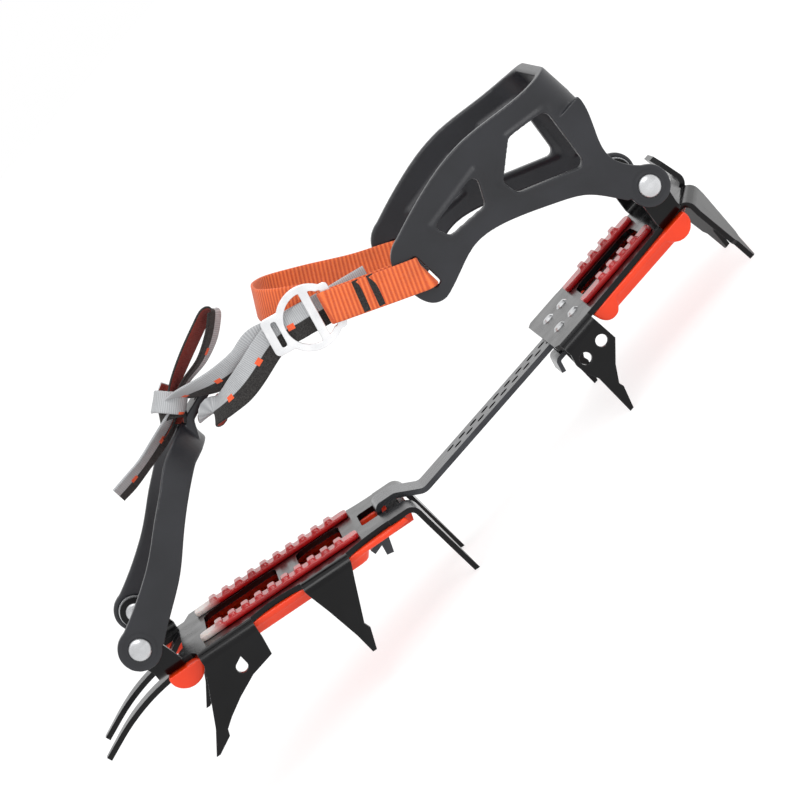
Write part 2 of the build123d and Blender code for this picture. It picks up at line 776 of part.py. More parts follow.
with BuildPart() as toe_rivets:
    add(both_sides(boss_rivet(front, front_rivet)))
toe_rivets.part.label = "toe_rivets"
export_step(toe_rivets.part, "parts/toe_rivets.step")
with BuildPart() as toe_washers:
    add(both_sides(boss_washer(front, front_rivet)))
toe_washers.part.label = "toe_washers"
export_step(toe_washers.part, "parts/toe_washers.step")
with BuildPart() as heel_rivets:
    add(both_sides(boss_rivet(rear, rear_rivet)))
heel_rivets.part.label = "heel_rivets"
export_step(heel_rivets.part, "parts/heel_rivets.step")
with BuildPart() as heel_washers:
    add(both_sides(boss_washer(rear, rear_rivet)))
heel_washers.part.label = "heel_washers"
export_step(heel_washers.part, "parts/heel_washers.step")

# ---------------------------------------------------------------- cradles
toe_boss = at(front, front_rivet[0], 0, front_rivet[1])
toe_boss_xz = (toe_boss.X - transversal_x, toe_boss.Z)
cradle_outer = cradle_y + cradle_thickness
toe_bend_x = 85.0                # the arms are straight ahead of this
toe_bend_reach = 49.0
tongue_width = 26.0
strap_slot = (17.0, 4.5)

with BuildPart() as toe_cradle:
    with BuildSketch(rear):
        with Locations((toe_bend_x, 0)):
            Ellipse(toe_bend_reach, cradle_outer)
        with Locations((toe_bend_x + 30, 0)):
            Rectangle(60, 2 * cradle_outer)
        with Locations((toe_bend_x, 0)):
            Ellipse(toe_bend_reach - cradle_thickness, cradle_y, mode=Mode.SUBTRACT)
        with Locations((toe_bend_x + 40, 0)):
            Rectangle(80, 2 * cradle_y, mode=Mode.SUBTRACT)
    extrude(amount=200)
    with BuildSketch(side_plane(rear, 0)):
        with BuildLine():
            Spline(
                (126.2, 101.0), (113.9, 104.7), (101.1, 109.7), (89.3, 115.5), (74.6, 124.7),
                (64.3, 130.7), (55.1, 136.2), (45.0, 139.0), (34.0, 139.6),
            )
            Polyline((34.0, 139.6), (34.0, 126.4), (46.0, 125.2))
            Spline(
                (46.0, 125.2), (57.0, 119.8), (72.5, 109.9), (84.4, 101.4), (96.5, 94.8),
                (107.2, 89.4), (112.6, 86.2),
            )
            Polyline((112.6, 86.2), toe_boss_xz, (126.2, 101.0))
        make_face()
        with Locations(toe_boss_xz):
            Circle(toe_boss_radius)
    extrude(amount=beyond, both=True, mode=Mode.INTERSECT)
    # tongue with the strap's slot, at the top of the arch
    with BuildSketch(side_plane(rear, 0)):
        with BuildLine() as tongue_line:
            FilletPolyline((38.6, 131.0), (34.0, 138.4), (18.0, 141.4), radius=3.5)
        trace(tongue_line.line, line_width=4.0)
    extrude(amount=tongue_width / 2, both=True)
    with BuildSketch(rear.offset(120)):
        with Locations((24.0, 0)):
            RectangleRounded(strap_slot[1], strap_slot[0], 1.5)
    extrude(amount=40, mode=Mode.SUBTRACT)
    with BuildSketch(side_plane(rear, 0)):
        with Locations(toe_boss_xz):
            Circle(rivet_shank_radius + pin_fit)
    extrude(amount=beyond, both=True, mode=Mode.SUBTRACT)
toe_cradle.part.label = "toe_cradle"
export_step(toe_cradle.part, "parts/toe_cradle.step")

heel_back_x = -183.5             # outside of the heel cradle's back
heel_corner_radius = 18.0
heel_band_z = 78.0               # the legs below this are flat
webbing_slot = ((-83.5, 115.4), (-82.9, 99.4))
webbing_slot_width = 3.5

with BuildPart() as heel_side:
    with BuildSketch(side_plane(rear, 0)):
        with BuildLine():
            Spline((-164.0, 61.3), (-160.3, 67.7), (-153.8, 76.7), (-144.4, 83.3), (-134.2, 89.1),
                   (-121.3, 95.5), (-106.7, 98.9), (-93.2, 96.0), (-81.2, 93.0))
            Spline((-81.2, 93.0), (-75.2, 96.0), (-72.4, 106.8), (-77.0, 122.0), (-85.9, 126.2))
            Spline((-85.9, 126.2), (-108.8, 131.3), (-133.9, 133.0), (-154.9, 129.4), (-178.4, 126.2))
            Polyline((-178.4, 126.2), (-190.0, 126.2), (-190.0, 112.0), (-183.0, 110.0))
            Spline((-183.0, 110.0), (-177.4, 92.9), (-173.0, 80.0), (-175.6, 72.0), (-182.0, 64.6))
            Polyline((-182.0, 64.6), rear_rivet, (-164.0, 61.3))
        make_face()
        with Locations(rear_rivet):
            Circle(heel_boss_radius)
        # windows in the wings
        with BuildLine():
            FilletPolyline(
                (-169.4, 114.7), (-150.0, 118.8), (-134.0, 107.6), (-135.0, 100.0), (-163.4, 85.6),
                close=True, radius=[4, 3, 3, 2.5, 3],
            )
        make_face(mode=Mode.SUBTRACT)
        with BuildLine():
            FilletPolyline(
                (-129.6, 119.9), (-121.6, 106.8), (-102.0, 109.4), (-99.6, 117.6), close=True, radius=2.6
            )
        make_face(mode=Mode.SUBTRACT)
        with BuildLine() as slot_line:
            Line(*webbing_slot)
        trace(slot_line.line, line_width=webbing_slot_width, mode=Mode.SUBTRACT)
        with Locations(rear_rivet):
            Circle(rivet_shank_radius + pin_fit, mode=Mode.SUBTRACT)
    extrude(amount=beyond, both=True)

with BuildPart() as heel_legs:
    with Locations((transversal_x - 167, 0, heel_band_z)):
        for side in (-1, 1):
            with Locations((0, side * (cradle_y + cradle_thickness / 2), 0)):
                Box(60, cradle_thickness, 60)

with BuildPart() as heel_cradle:
    with BuildSketch(rear.offset(heel_band_z)):
        with Locations((heel_back_x + 70, 0)):
            RectangleRounded(140, 2 * cradle_outer, heel_corner_radius)
        with Locations((heel_back_x + cradle_thickness + 70, 0)):
            RectangleRounded(
                140, 2 * cradle_y, heel_corner_radius - cradle_thickness, mode=Mode.SUBTRACT
            )
        with Locations((heel_back_x + 160, 0)):
            Rectangle(90, 3 * cradle_outer, mode=Mode.SUBTRACT)
        for side in (-1, 1):
            with Locations((heel_back_x + 112, side * (cradle_y + cradle_thickness / 2))):
                Rectangle(20, cradle_thickness)
    extrude(amount=200)
    add(heel_legs.part)
    add(heel_side.part, mode=Mode.INTERSECT)
heel_cradle.part.label = "heel_cradle"
export_step(heel_cradle.part, "parts/heel_cradle.step")

# ---------------------------------------------------------------- buckle
buckle_y = 42.5
buckle_pitch = 20.0              # degrees
ring_x, ring_z = -35.5, 131.8
buckle_plane = Plane(
    origin=at(rear, ring_x, buckle_y + buckle_thickness / 2, ring_z),
    x_dir=(cos(radians(buckle_pitch)), 0, sin(radians(buckle_pitch))),
    z_dir=(0, -1, 0),
)
end_u = 20.5
end_half = 8.8
crossbar_u = (-4.3, -0.3)
outer_bar_u = (-13.5, -9.3)
with BuildPart() as buckle:
    with BuildSketch(buckle_plane):
        Circle(buckle_radius)
        with Locations((end_u / 2, 0)):
            RectangleRounded(end_u, 2 * end_half, 2.5)
        with Locations((outer_bar_u[0] + 5, 0)):
            RectangleRounded(10, 2 * end_half + 4, 2)
        # round window with the crossbar left across it
        Circle(buckle_radius - buckle_rim, mode=Mode.SUBTRACT)
        with Locations((end_u - buckle_bar - 1.25, 0)):
            RectangleRounded(2.5, 2 * end_half - 5.6, 1, mode=Mode.SUBTRACT)
        with Locations(((outer_bar_u[1] + crossbar_u[0]) / 2, 0)):
            RectangleRounded(crossbar_u[0] - outer_bar_u[1], 2 * end_half - 0.4, 1, mode=Mode.SUBTRACT)
        with Locations(((crossbar_u[0] + crossbar_u[1]) / 2, 0)):
            Rectangle(crossbar_u[1] - crossbar_u[0], 2 * (buckle_radius - buckle_rim) + 2)
        with Locations(((outer_bar_u[0] + outer_bar_u[1]) / 2, 0)):
            Rectangle(outer_bar_u[1] - outer_bar_u[0], 2 * end_half)
    extrude(amount=buckle_thickness)
buckle.part.label = "buckle"
export_step(buckle.part, "parts/buckle.step")

# ---------------------------------------------------------------- webbing
half_web = webbing_thickness / 2
up_v = Vector(-sin(radians(buckle_pitch)), 0, cos(radians(buckle_pitch)))
along_u = Vector(cos(radians(buckle_pitch)), 0, sin(radians(buckle_pitch)))
slot_middle = (
    (webbing_slot[0][0] + webbing_slot[1][0]) / 2, (webbing_slot[0][1] + webbing_slot[1][1]) / 2
)
slot_up = Vector(webbing_slot[0][0] - webbing_slot[1][0], 0, webbing_slot[0][1] - webbing_slot[1][1])


def on_buckle(u, y):
    """A point on the buckle's middle line, u along it, at height y above the boot's middle."""
    centre = at(rear, ring_x, y, ring_z)
    return centre + along_u * u


def ribbon(stations, width=webbing_width, thickness=webbing_thickness):
    """Webbing through stations of (point, across), in straight stretches from one to the next."""
    points = [place for place, _ in stations]
    faces = []
    for i, (place, wide) in enumerate(stations):
        back = points[max(i - 1, 0)]
        ahead = points[min(i + 1, len(points) - 1)]
        tangent = (ahead - back).normalized()
        square = (wide - tangent * wide.dot(tangent)).normalized()
        with BuildSketch(Plane(origin=place, x_dir=square, z_dir=tangent)) as station:
            Rectangle(width, thickness)
        faces.append(station.sketch.faces()[0])
    return loft(faces, ruled=True)


outer_slot_y = cradle_outer + webbing_gap + half_web
inner_slot_y = cradle_y - webbing_gap - half_web
outer_bar_y = buckle_y + buckle_thickness / 2 + webbing_gap + half_web
inner_bar_y = buckle_y - buckle_thickness / 2 - webbing_gap - half_web
turn_u = outer_bar_u[1] + webbing_gap + half_web
slot_outer = at(rear, slot_middle[0], outer_slot_y, slot_middle[1])
slot_inner = at(rear, slot_middle[0], inner_slot_y, slot_middle[1])
bar_outer = on_buckle(turn_u + half_web, outer_bar_y)
past_wing = Vector(
    slot_outer.X * 0.64 + bar_outer.X * 0.36, outer_slot_y, slot_outer.Z * 0.64 + bar_outer.Z * 0.36
)

with BuildPart() as left_webbing:
    add(
        ribbon(
            [
                (slot_outer, slot_up),
                (past_wing, slot_up * 2 + up_v * 15),
                (bar_outer, up_v),
            ]
        )
    )
    add(ribbon([(slot_inner, slot_up), (on_buckle(turn_u + half_web, inner_bar_y), up_v)]))
    add(
        ribbon(
            [
                (slot_inner - Vector(0, half_web, 0), slot_up),
                (slot_outer + Vector(0, half_web, 0), slot_up),
            ]
        )
    )
    add(
        ribbon(
            [
                (on_buckle(turn_u, inner_bar_y - half_web), up_v),
                (on_buckle(turn_u, outer_bar_y + half_web), up_v),
            ]
        )
    )
left_webbing.part.label = "left_webbing"
export_step(left_webbing.part, "parts/left_webbing.step")

# the right webbing crosses the instep from the far wing to under the buckle
crest = (-23.9, 148.6)
crest_up = (0.808, 0.589)
crest_wide = Vector(crest_up[1], 0, -crest_up[0])


def over_instep(y, rise):
    return at(rear, crest[0] + crest_up[0] * rise, y, crest[1] + crest_up[1] * rise)


far_inner = at(rear, slot_middle[0], -inner_slot_y, slot_middle[1])
far_outer = at(rear, slot_middle[0], -outer_slot_y, slot_middle[1])
with BuildPart() as right_webbing:
    add(
        ribbon(
            [
                (far_inner, slot_up * -1),
                (over_instep(-40.6, -26), crest_wide),
                (over_instep(-35.0, -9), crest_wide),
                (over_instep(-20.0, -1.5), crest_wide),
                (over_instep(0, 0), crest_wide),
                (over_instep(18.0, -1.5), crest_wide),
                (over_instep(31.0, -10.0), crest_wide),
                (over_instep(35.6, -18.0), crest_wide),
            ]
        )
    )
    add(
        ribbon(
            [
                (far_inner + Vector(0, half_web, 0), slot_up),
                (far_outer - Vector(0, half_web, 0), slot_up),
            ]
        )
    )
    add(
        ribbon(
            [
                (far_outer, slot_up),
                (at(rear, slot_middle[0] + 14, -outer_slot_y, slot_middle[1] + 6), slot_up),
            ]
        )
    )
right_webbing.part.label = "right_webbing"
export_step(right_webbing.part, "parts/right_webbing.step")

# two bar tacks sewn through the left webbing
with BuildPart() as bar_tacks:
    for top, low in (((-59.8, 128.0), (-54.6, 115.6)), ((-65.9, 124.4), (-61.5, 112.8))):
        middle = ((top[0] + low[0]) / 2, (top[1] + low[1]) / 2)
        part_way = (transversal_x + middle[0] - past_wing.X) / (bar_outer.X - past_wing.X)
        tack_y = outer_slot_y + (outer_bar_y - outer_slot_y) * part_way + half_web
        with BuildSketch(side_plane(rear, tack_y + 0.5)):
            with BuildLine() as tack_line:
                Line(top, low)
            trace(tack_line.line, line_width=3.0)
        extrude(amount=0.5)
bar_tacks.part.label = "bar_tacks"
export_step(bar_tacks.part, "parts/bar_tacks.step")

# The toe strap passes behind the buckle in two layers, down to the knot at the toe cradle's tongue.
# One layer runs on under the left webbing, and the other comes up a little in the round window.
under_y = inner_bar_y - webbing_thickness - 0.4
level = Vector(1, 0, 0)
sideways = Vector(0, 1, 0)
knot = at(rear, 33.5, 7.5, 149.2)
strap_hole_x = 24.0
with BuildPart() as toe_strap:
    # upper pass, to the knot
    add(
        ribbon(
            [
                (on_buckle(-30.0, under_y), up_v),
                (on_buckle(26.0, under_y), up_v),
                (at(rear, 4.0, 32.5, 141.6), Vector(-0.15, 0.25, 1)),
                (at(rear, 20.0, 23.0, 147.4), Vector(0, 0.75, 0.66)),
                (knot, Vector(0.1, 0.95, 0.3)),
            ]
        )
    )
    # lower pass, to the slot of the tongue, and up through it to the knot
    add(
        ribbon(
            [
                (on_buckle(-3.0, inner_bar_y), up_v),
                (on_buckle(20.0, inner_bar_y), up_v),
                (at(rear, 0.5, 37.0, 132.0), Vector(-0.2, -0.1, 1)),
                (at(rear, 18.0, 29.0, 131.4), Vector(0, -0.5, 1)),
                (at(rear, strap_hole_x, 4.0, 135.4), level),
            ]
        )
    )
    add(
        ribbon(
            [
                (at(rear, strap_hole_x, 0, 134.8), sideways),
                (at(rear, strap_hole_x, 0, 147.0), sideways),
                (knot, sideways),
            ]
        )
    )
    with Locations(knot):
        Box(11, 11, 9, rotation=(10, 20, 30))
    # bight that stands up behind the knot
    add(
        ribbon(
            [
                (knot + Vector(-1, 0, 3), Vector(0, 0.9, 0.25)),
                (at(rear, 17.0, 8.0, 156.4), Vector(0, 0.85, 0.4)),
                (at(rear, -7.4, 9.0, 162.4), Vector(0, 0.8, 0.5)),
            ],
            width=9.0,
        )
    )
    add(
        ribbon(
            [
                (at(rear, -7.4, 9.0, 161.2), Vector(0, 0.8, 0.5)),
                (at(rear, 2.0, 10.0, 154.2), Vector(0, 0.8, 0.5)),
                (knot + Vector(-2, 1, 0), Vector(0, 0.9, 0.25)),
            ],
            width=9.0,
        )
    )
    # loose end
    add(
        ribbon(
            [
                (knot + Vector(1, 0, -2), Vector(0, 0.9, 0.35)),
                (at(rear, 60.0, 12.0, 140.2), Vector(0, 0.9, 0.35)),
                (at(rear, 79.0, 14.0, 139.8), Vector(0, 0.9, 0.35)),
            ],
            width=12.0,
        )
    )
toe_strap.part.label = "toe_strap"
export_step(toe_strap.part, "parts/toe_strap.step")
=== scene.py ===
import math

import bmesh
import bpy
import numpy as np
from mathutils import Matrix, Vector, noise


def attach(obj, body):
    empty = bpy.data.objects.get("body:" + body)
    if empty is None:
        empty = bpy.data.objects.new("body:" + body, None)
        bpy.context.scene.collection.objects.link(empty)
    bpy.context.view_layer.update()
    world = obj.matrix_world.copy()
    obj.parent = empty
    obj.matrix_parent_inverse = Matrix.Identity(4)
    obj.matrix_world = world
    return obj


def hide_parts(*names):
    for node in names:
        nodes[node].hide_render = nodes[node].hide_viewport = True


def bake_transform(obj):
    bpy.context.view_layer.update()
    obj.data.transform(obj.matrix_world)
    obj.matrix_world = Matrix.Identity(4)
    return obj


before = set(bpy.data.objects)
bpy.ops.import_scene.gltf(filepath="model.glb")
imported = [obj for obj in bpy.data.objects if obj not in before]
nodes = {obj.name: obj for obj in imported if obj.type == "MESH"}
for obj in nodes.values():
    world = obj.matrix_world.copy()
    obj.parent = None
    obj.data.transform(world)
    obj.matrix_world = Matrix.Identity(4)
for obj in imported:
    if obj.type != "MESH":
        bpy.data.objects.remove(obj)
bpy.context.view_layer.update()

MM = 0.001

# Points are given in millimetres, x from the transversal tooth tips, as the part's own drawing has them.
TIPS = Vector((9.7, 0, 0))
TILT = math.radians(15)              # pitch of the front section
TIP_DROP = 0.33                      # the leaning transversal tips reach this far below their middle


def rear(x, y, z):
    return (Vector((x, y, z)) + TIPS) * MM


def front(x, y, z):
    c, s = math.cos(TILT), math.sin(TILT)
    return (Vector((x * c - z * s, y, x * s + z * c + TIP_DROP)) + TIPS) * MM


# ---------------------------------------------------------------- camera and light
def place_camera():
    cam = bpy.data.objects.new("camera", bpy.data.cameras.new("camera"))
    bpy.context.collection.objects.link(cam)
    cam.data.sensor_width = 36
    cam.data.lens = 151.2
    back = Vector((-0.0288, 0.9866, 0.1612)).normalized()
    level = Vector((0, 0, 1)) - back * back.z
    level.normalize()
    side = level.cross(back)
    roll = math.radians(49.06)
    up = level * math.cos(roll) + side * math.sin(roll)
    right = up.cross(back)
    turn = Matrix((right, up, back)).transposed().to_4x4()
    cam.matrix_world = Matrix.Translation(rear(-32.9, 0, 71.4) + back * 1.5) @ turn
    cam.data.clip_start, cam.data.clip_end = 0.05, 50
    bpy.context.scene.camera = cam
    return right, up, back


cam_right, cam_up, cam_back = place_camera()
LIT_POINT = Vector((0, 0, 0.07))


def area_light(name, toward, distance, size, power):
    light = bpy.data.lights.new(name, "AREA")
    light.size = size
    light.energy = power
    lamp = bpy.data.objects.new(name, light)
    bpy.context.collection.objects.link(lamp)
    toward = toward.normalized()
    lamp.location = LIT_POINT + toward * distance
    lamp.rotation_mode = "QUATERNION"
    lamp.rotation_quaternion = toward.to_track_quat("Z", "Y")


area_light("key", cam_up * 0.9 - cam_right * 0.5 + cam_back * 1.0, 1.3, 0.5, 4.6)
area_light("fill", cam_right * 1.0 + cam_back * 0.9 + cam_up * 0.1, 1.5, 0.9, 1.6)
area_light("sky", Vector((0.1, 0.2, 1)), 1.4, 1.1, 1.6)
area_light("back", Vector((-0.5, -1, 0.7)), 1.4, 0.8, 1.6)


# ---------------------------------------------------------------- materials
def linear(code):
    out = []
    for i in (0, 2, 4):
        c = int(code[i : i + 2], 16) / 255
        out.append(c / 12.92 if c <= 0.04045 else ((c + 0.055) / 1.055) ** 2.4)
    return (*out, 1)


def put(mat, kind, links=None, **settings):
    """Adds a shader node with its settings, and sets or links its inputs."""
    made = mat.node_tree.nodes.new(kind)
    for key, value in settings.items():
        setattr(made, key, value)
    for key, value in (links or {}).items():
        if isinstance(value, bpy.types.NodeSocket):
            mat.node_tree.links.new(value, made.inputs[key])
        else:
            made.inputs[key].default_value = value
    return made


def per_mm(size):
    """Texture scale for features this many millimetres across."""
    return 1000 / size


def start(name):
    mat = bpy.data.materials.new(name)
    mat.use_nodes = True
    mat.node_tree.nodes.clear()
    return mat


def close(mat, shader):
    put(mat, "ShaderNodeOutputMaterial", {"Surface": shader})
    return mat


def place(mat, stretch=None):
    coords = put(mat, "ShaderNodeTexCoord").outputs["Object"]
    if stretch:
        coords = put(mat, "ShaderNodeMapping", {"Vector": coords, "Scale": stretch}).outputs[0]
    return coords


def noise_at(mat, coords, size, detail=3.0, rough=0.5):
    return put(
        mat, "ShaderNodeTexNoise",
        {"Vector": coords, "Scale": per_mm(size), "Detail": detail, "Roughness": rough},
    ).outputs["Fac"]


def spread(mat, value, low, high, to_low, to_high):
    return put(
        mat, "ShaderNodeMapRange",
        {"Value": value, "From Min": low, "From Max": high, "To Min": to_low, "To Max": to_high},
    ).outputs[0]


def blend(mat, fac, a, b):
    made = put(mat, "ShaderNodeMix", data_type="RGBA")
    for index, value in ((0, fac), (6, a), (7, b)):
        if isinstance(value, bpy.types.NodeSocket):
            mat.node_tree.links.new(value, made.inputs[index])
        else:
            made.inputs[index].default_value = value
    return made.outputs[2]


def math_of(mat, operation, a, b=0.5, c=0.5):
    return put(mat, "ShaderNodeMath", {0: a, 1: b, 2: c}, operation=operation).outputs[0]


def bump(mat, height, strength, depth_mm):
    return put(
        mat, "ShaderNodeBump", {"Height": height, "Strength": strength, "Distance": depth_mm * MM}
    ).outputs[0]


def edge_of(mat, radius_mm):
    """How near a sharp edge is, from 0 to 1."""
    soft = put(mat, "ShaderNodeBevel", {"Radius": radius_mm * MM}, samples=4).outputs[0]
    flat = put(mat, "ShaderNodeNewGeometry").outputs["Normal"]
    same = put(mat, "ShaderNodeVectorMath", {0: soft, 1: flat}, operation="DOT_PRODUCT").outputs["Value"]
    return spread(mat, same, 0.98, 0.86, 0, 1)


def coated_steel(name, dark, light, worn):
    """Gloss black coating over steel, a little orange peel, rubbed along the edges."""
    mat = start(name)
    at = place(mat)
    patch = noise_at(mat, at, 14, 4)
    peel = noise_at(mat, at, 1.1, 2)
    speck = noise_at(mat, at, 0.5, 4, 0.7)
    tint = blend(mat, spread(mat, patch, 0.35, 0.65, 0, 1), linear(dark), linear(light))
    rub = math_of(mat, "MULTIPLY", edge_of(mat, 0.5), spread(mat, speck, 0.42, 0.62, 0.0, 0.7))
    tint = blend(mat, rub, tint, linear(worn))
    shader = put(
        mat, "ShaderNodeBsdfPrincipled",
        {
            "Base Color": tint,
            "Roughness": spread(mat, patch, 0.3, 0.7, 0.16, 0.28),
            "Metallic": spread(mat, rub, 0, 1, 0.0, 0.7),
            "Specular IOR Level": 0.2,
            "Coat Weight": 0.06,
            "Coat Roughness": 0.1,
            "Normal": bump(mat, peel, 0.1, 0.02),
        },
    )
    return close(mat, shader.outputs[0])


def bare_steel(name, colour, rough, along, length=18.0):
    """Drawn or rolled steel with fine lines along one axis."""
    mat = start(name)
    scale = tuple(1 / length if i == along else 1 for i in range(3))
    lines = noise_at(mat, place(mat, scale), 0.35, 3, 0.6)
    patch = noise_at(mat, place(mat), 9, 3)
    tint = blend(
        mat, spread(mat, patch, 0.3, 0.7, 0, 1), linear(colour),
        tuple(c * 0.72 for c in linear(colour)[:3]) + (1,),
    )
    shader = put(
        mat, "ShaderNodeBsdfPrincipled",
        {
            "Base Color": tint,
            "Metallic": 1.0,
            "Roughness": spread(mat, lines, 0.3, 0.7, rough * 0.8, rough * 1.35),
            "Normal": bump(mat, lines, 0.15, 0.03),
        },
    )
    return close(mat, shader.outputs[0])


def moulded(name, colour, shade, rough, grain_mm, grain=0.2, glow=0.0, clear=None, scuff=0.35):
    """Moulded TPU: a fine etched grain, slow colour drift, paler scuffs on edges, clear toe end."""
    mat = start(name)
    at = place(mat)
    fine = noise_at(mat, at, grain_mm, 3, 0.6)
    slow = noise_at(mat, at, 22, 3)
    tint = blend(mat, spread(mat, slow, 0.3, 0.7, 0, 1), linear(colour), linear(shade))
    edge = put(mat, "ShaderNodeNewGeometry").outputs["Pointiness"]
    pale = tuple(min(1, c * 1.5 + 0.02) for c in linear(colour)[:3]) + (1,)
    tint = blend(mat, spread(mat, edge, 0.52, 0.58, 0, scuff), tint, pale)
    if clear:
        ahead = put(mat, "ShaderNodeSeparateXYZ", {0: at}).outputs[0]
        end = spread(mat, ahead, clear[0] * MM, clear[1] * MM, 0, 0.8)
        tint = blend(mat, end, tint, linear("d8d4cf"))
    shader = put(
        mat, "ShaderNodeBsdfPrincipled",
        {
            "Base Color": tint,
            "Roughness": spread(mat, fine, 0.3, 0.7, rough * 0.9, rough * 1.12),
            "Specular IOR Level": 0.45,
            "Subsurface Weight": glow,
            "Subsurface Radius": (0.002, 0.0007, 0.0004),
            "Subsurface Scale": 1.0,
            "Normal": bump(mat, fine, grain, 0.08),
        },
    )
    return close(mat, shader.outputs[0])


def uv_of(mat):
    split = put(mat, "ShaderNodeSeparateXYZ", {0: put(mat, "ShaderNodeUVMap").outputs[0]})
    return split.outputs[0], split.outputs[1]


def wave_of(mat, value, pitch_mm, low=0.0, high=1.0):
    """A cosine along a length in metres."""
    turned = math_of(mat, "MULTIPLY", value, 2 * math.pi * 1000 / pitch_mm)
    return spread(mat, math_of(mat, "COSINE", turned), -1, 1, low, high)


MIDDLE_BLUR = 0.2          # where the two colours of the strap meet, in millimetres
SQUARE = 2.6               # side of a coloured square on that line
SQUARE_STEP = 21.0
SQUARE_SHARE = 0.16        # of the step that a square takes along the strap


def webbing(name, colour, shade, rib_mm, rib_depth, far=None, squares=None, back=None):
    """Flat woven webbing, with painted shade in the troughs between its ribs. Its UV is the length along
    and the distance across, in metres.
    """
    mat = start(name)
    along, across = uv_of(mat)
    ribs = wave_of(mat, along, rib_mm)
    ends = wave_of(mat, across, 0.9)
    weave = math_of(mat, "MULTIPLY", wave_of(mat, along, 0.7), ends)
    fuzz = noise_at(mat, place(mat), 0.6, 5, 0.7)
    soil = noise_at(mat, place(mat), 12, 3)
    # Painted shade: the troughs between the ribs take the darker shade colour, following the rib bump.
    tint = blend(mat, spread(mat, ribs, 0, 1, 0.9, 0), linear(colour), linear(shade))
    if far:
        side = spread(mat, across, -MIDDLE_BLUR * MM, MIDDLE_BLUR * MM, 0, 1)
        tint = blend(mat, side, tint, linear(far))
    if squares:
        near_line = math_of(mat, "LESS_THAN", math_of(mat, "ABSOLUTE", across), SQUARE / 2 * MM)
        step = math_of(mat, "FRACT", math_of(mat, "MULTIPLY", along, 1000 / SQUARE_STEP))
        on = math_of(mat, "MULTIPLY", near_line, math_of(mat, "LESS_THAN", step, SQUARE_SHARE))
        tint = blend(mat, on, tint, linear(squares))
    if back:
        face = put(mat, "ShaderNodeAttribute", attribute_name="face").outputs["Fac"]
        tint = blend(mat, math_of(mat, "LESS_THAN", face, -0.5), tint, linear(back))
    tint = blend(mat, spread(mat, soil, 0.35, 0.75, 0, 0.18), tint, (0.02, 0.016, 0.014, 1))
    tint = blend(mat, spread(mat, fuzz, 0.3, 0.7, 0.0, 0.06), tint, (0.9, 0.85, 0.8, 1))
    height = math_of(mat, "MULTIPLY", ribs, rib_depth)
    height = math_of(mat, "ADD", height, math_of(mat, "MULTIPLY", weave, 0.5))
    height = math_of(mat, "ADD", height, math_of(mat, "MULTIPLY", fuzz, 0.4))
    shader = put(
        mat, "ShaderNodeBsdfPrincipled",
        {
            "Base Color": tint,
            "Roughness": 0.82,
            "Sheen Weight": 0.12,
            "Sheen Roughness": 0.4,
            "Specular IOR Level": 0.2,
            "Normal": bump(mat, height, 0.85, 0.16),
        },
    )
    return close(mat, shader.outputs[0])


black_steel = coated_steel("gloss_black_coated_steel", "040405", "0a0a0c", "646467")
bar_steel = bare_steel("rolled_spring_steel", "4a4b4e", 0.24, 0)
rivet_steel = bare_steel("turned_steel", "d3d4d6", 0.24, 1, 1.0)
wire_steel = bare_steel("spring_wire", "a5a6a8", 0.3, 1, 1.0)
orange_tpu = moulded("orange_tpu", "f03c04", "de3203", 0.36, 0.7, 0.12, 0.06)
red_tpu = moulded("dark_red_tpu", "b40f12", "8a0a0e", 0.2, 0.9, 0.08, 0.1, (100, 108), 0.05)
slate_tpu = moulded("slate_grey_tpu", "232429", "1a1b1f", 0.4, 0.55, 0.3)
# The second colour of each webbing is painted shade for the troughs between its ribs.
orange_web = webbing("orange_ribbed_webbing", "f2763a", "c4451a", 1.9, 1.2)
strap_web = webbing(
    "grey_and_black_webbing", "b9bbbd", "9a9c9f", 0.9, 0.4, far="0b0b0d", squares="ee5a2a", back="8c2413"
)
thread = webbing("black_bar_tack_thread", "141416", "070708", 0.5, 1.2)


def buckle_metal():
    mat = start("satin_silver_alloy")
    at = place(mat)
    grain = noise_at(mat, at, 0.3, 3, 0.6)
    slow = noise_at(mat, at, 7, 2)
    shader = put(
        mat, "ShaderNodeBsdfPrincipled",
        {
            "Base Color": blend(mat, spread(mat, slow, 0.3, 0.7, 0, 1), linear("f2f2f3"), linear("dfe0e2")),
            "Metallic": 0.65,
            "Roughness": spread(mat, grain, 0.3, 0.7, 0.27, 0.4),
            "Normal": bump(mat, grain, 0.1, 0.02),
        },
    )
    return close(mat, shader.outputs[0])


silver = buckle_metal()


def dress(node, mat):
    for s in nodes[node].material_slots:
        s.material = mat


for node, mat in {
    "front_plate": black_steel, "rear_plate": black_steel, "bar_guide": black_steel,
    "link_bar": bar_steel, "length_latch": bar_steel, "latch_pin": rivet_steel,
    "guide_rivets": rivet_steel, "toe_washers": rivet_steel, "heel_washers": rivet_steel,
    "front_antiball": orange_tpu, "rear_antiball": orange_tpu, "front_pads": red_tpu,
    "rear_pads": red_tpu, "toe_cradle": slate_tpu, "heel_cradle": slate_tpu, "buckle": silver,
    "toe_rivets": rivet_steel, "heel_rivets": rivet_steel, "latch_spring": wire_steel,
    "left_webbing": orange_web, "right_webbing": orange_web, "toe_strap": strap_web, "bar_tacks": thread,
}.items():
    dress(node, mat)


def soften_edges(node, width_mm):
    """Breaks the sharp edges of a CAD node with a small bevel."""
    made = nodes[node].modifiers.new("edge_break", "BEVEL")
    made.width = width_mm * MM
    made.segments = 2
    made.limit_method = "ANGLE"
    made.angle_limit = math.radians(40)
    made.harden_normals = False


# ---------------------------------------------------------------- mesh helpers
def link(name, mesh, mat, body, slot, *replaced):
    made = bpy.data.objects.new(name, mesh)
    bpy.context.collection.objects.link(made)
    if mat:
        mesh.materials.clear()
        mesh.materials.append(mat)
    if body:
        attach(made, body)
    if replaced:
        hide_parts(*replaced)
    return made


def smooth_all(mesh):
    mesh.polygons.foreach_set("use_smooth", [True] * len(mesh.polygons))


